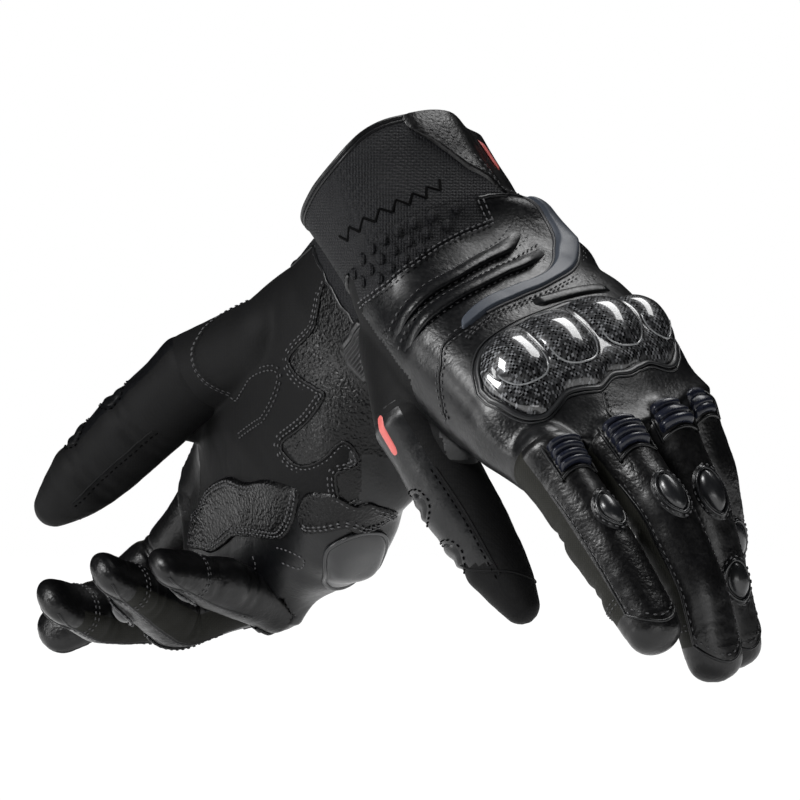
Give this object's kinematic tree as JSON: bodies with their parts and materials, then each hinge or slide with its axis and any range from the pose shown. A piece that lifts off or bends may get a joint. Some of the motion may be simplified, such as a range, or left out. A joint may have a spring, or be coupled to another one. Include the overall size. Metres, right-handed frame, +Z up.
{
  "type": "riding gloves",
  "caption": "Short black leather riding gloves with carbon knuckle guards, finger and palm sliders, stretch folds and wrist straps; fingers, thumbs and straps bend",
  "frame": {"origin": "on the floor, under the middle of the box round both gloves", "axes": "+Z up; the picture looks along +Y, with +X to its right; the left glove is in front, the right glove behind"},
  "size_m": [0.2362, 0.3336, 0.1773],
  "materials": {
    "leather": "soft matt goat leather, finely wrinkled",
    "grained_leather": "grained leather with a low sheen",
    "stretch_fabric": "woven stretch fabric, matt",
    "rubber": "slate grey moulded rubber, satin",
    "carbon": "woven carbon under a clear coat",
    "hard_plastic": "smooth black moulded plastic, half gloss"
  },
  "bodies": {
    "right_hand": {"right_back_panel": "leather", "right_palm_panel": "leather", "right_cuff_back": "stretch_fabric", "right_cuff_palm": "stretch_fabric", "right_cuff_binding": "leather", "right_knuckle_guard": "carbon", "right_guard_bezel": "rubber", "right_knuckle_foam": "stretch_fabric", "right_wrist_insert": "rubber", "right_wrist_folds": "leather", "right_mesh_panel": "stretch_fabric", "right_palm_slider": "hard_plastic", "right_palm_patch": "grained_leather", "right_strap_anchor": "grained_leather"},
    "right_strap": {"right_wrist_strap": "grained_leather", "right_strap_pull": "rubber"},
    "right_thumb": {"right_thumb_stall": "stretch_fabric", "right_thumb_pads": "leather"},
    "right_index": {"right_index_stall": "leather", "right_index_folds": "stretch_fabric", "right_index_slider": "hard_plastic"},
    "right_middle": {"right_middle_stall": "leather", "right_middle_folds": "stretch_fabric", "right_middle_slider": "hard_plastic"},
    "right_ring": {"right_ring_stall": "leather", "right_ring_folds": "stretch_fabric", "right_ring_slider": "hard_plastic"},
    "right_little": {"right_little_stall": "leather", "right_little_folds": "stretch_fabric", "right_little_slider": "hard_plastic"},
    "left_hand": {"left_back_panel": "leather", "left_palm_panel": "leather", "left_cuff_back": "stretch_fabric", "left_cuff_palm": "stretch_fabric", "left_cuff_binding": "leather", "left_knuckle_guard": "carbon", "left_guard_bezel": "rubber", "left_knuckle_foam": "stretch_fabric", "left_wrist_insert": "rubber", "left_wrist_folds": "leather", "left_mesh_panel": "stretch_fabric", "left_palm_slider": "hard_plastic", "left_palm_patch": "grained_leather", "left_strap_anchor": "grained_leather"},
    "left_strap": {"left_wrist_strap": "grained_leather", "left_strap_pull": "rubber"},
    "left_thumb": {"left_thumb_stall": "stretch_fabric", "left_thumb_pads": "leather"},
    "left_index": {"left_index_stall": "leather", "left_index_folds": "stretch_fabric", "left_index_slider": "hard_plastic"},
    "left_middle": {"left_middle_stall": "leather", "left_middle_folds": "stretch_fabric", "left_middle_slider": "hard_plastic"},
    "left_ring": {"left_ring_stall": "leather", "left_ring_folds": "stretch_fabric", "left_ring_slider": "hard_plastic"},
    "left_little": {"left_little_stall": "leather", "left_little_folds": "stretch_fabric", "left_little_slider": "hard_plastic"}
  },
  "joints": [
    {"name": "left_glove_lift", "type": "slide", "parent": "right_hand", "child": "left_hand", "axis": [0, 0, 1], "range_m": [0, 0.3]},
    {"name": "right_thumb_swing", "type": "hinge", "parent": "right_hand", "child": "right_thumb", "pos_m": [-0.0613, 0.0888, 0.096], "axis": [0.8401, 0.5225, 0.1457], "range_deg": [-5, 35]},
    {"name": "right_index_bend", "type": "hinge", "parent": "right_hand", "child": "right_index", "pos_m": [-0.0619, 0.1367, 0.0521], "axis": [-0.45, 0.5213, 0.7251], "range_deg": [-16, 34]},
    {"name": "right_middle_bend", "type": "hinge", "parent": "right_hand", "child": "right_middle", "pos_m": [-0.0533, 0.1285, 0.0329], "axis": [-0.4552, 0.533, 0.7133], "range_deg": [-60, 15]},
    {"name": "right_ring_bend", "type": "hinge", "parent": "right_hand", "child": "right_ring", "pos_m": [-0.0423, 0.1138, 0.02], "axis": [-0.47, 0.5671, 0.6764], "range_deg": [-88, 10]},
    {"name": "right_little_bend", "type": "hinge", "parent": "right_hand", "child": "right_little", "pos_m": [-0.0318, 0.0943, 0.0133], "axis": [-0.4878, 0.6101, 0.6244], "range_deg": [-104, 7]},
    {"name": "right_strap_open", "type": "hinge", "parent": "right_hand", "child": "right_strap", "pos_m": [0.0127, 0.0286, 0.0875], "axis": [0.5551, -0.4565, 0.6954], "range_deg": [0, 75]},
    {"name": "left_thumb_swing", "type": "hinge", "parent": "left_hand", "child": "left_thumb", "pos_m": [0.0037, -0.0836, 0.0782], "axis": [-0.1403, 0.5266, -0.8384], "range_deg": [-5, 35]},
    {"name": "left_index_bend", "type": "hinge", "parent": "left_hand", "child": "left_index", "pos_m": [0.0501, -0.128, 0.0688], "axis": [0.8207, 0.5355, 0.1991], "range_deg": [-18, 32]},
    {"name": "left_middle_bend", "type": "hinge", "parent": "left_hand", "child": "left_middle", "pos_m": [0.071, -0.1197, 0.0717], "axis": [0.8109, 0.547, 0.2079], "range_deg": [-16, 59]},
    {"name": "left_ring_bend", "type": "hinge", "parent": "left_hand", "child": "left_ring", "pos_m": [0.0864, -0.1046, 0.0775], "axis": [0.7801, 0.5803, 0.234], "range_deg": [-33, 65]},
    {"name": "left_little_bend", "type": "hinge", "parent": "left_hand", "child": "left_little", "pos_m": [0.0958, -0.0843, 0.0838], "axis": [0.7356, 0.6222, 0.2678], "range_deg": [-44, 67]},
    {"name": "left_strap_open", "type": "hinge", "parent": "left_hand", "child": "left_strap", "pos_m": [0.0377, -0.0182, 0.1475], "axis": [0.4903, -0.4411, -0.7517], "range_deg": [0, 75]}
  ]
}
